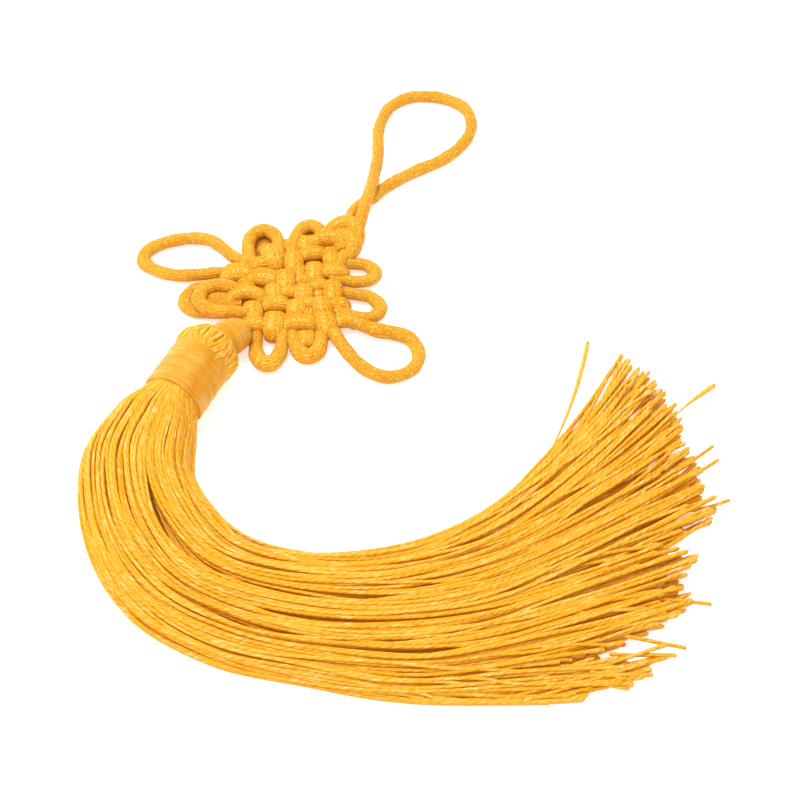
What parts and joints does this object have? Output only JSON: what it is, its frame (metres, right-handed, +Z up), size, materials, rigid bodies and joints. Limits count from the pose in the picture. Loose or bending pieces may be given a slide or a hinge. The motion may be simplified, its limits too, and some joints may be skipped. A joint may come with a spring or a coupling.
{
  "type": "silk tassel with endless knot",
  "caption": "Golden silk tassel lying on its side, with a hanging loop, a button knot, a woven endless knot with ears, a wrapped neck, a thread binding and a long curved skirt of yarns",
  "frame": {"origin": "on the surface the tassel lies on, under the middle of its bounding box", "axes": "+Z up from the surface; +Y along the tassel from the skirt towards the hanging loop; +X towards the cut ends of the skirt"},
  "size_m": [0.1146, 0.159, 0.0123],
  "materials": {
    "cord_silk": "golden yellow satin knotting cord, fine threads along the cord",
    "wrap_thread": "golden yellow silk thread wound tightly side by side",
    "tassel_yarn": "golden yellow two-ply twisted silk yarn with a soft sheen"
  },
  "bodies": {
    "root": {"hanging_loop": "cord_silk", "crown_knot": "cord_silk", "endless_knot": "cord_silk", "neck_wrap": "wrap_thread", "binding": "wrap_thread", "tassel": "tassel_yarn"}
  },
  "joints": []
}
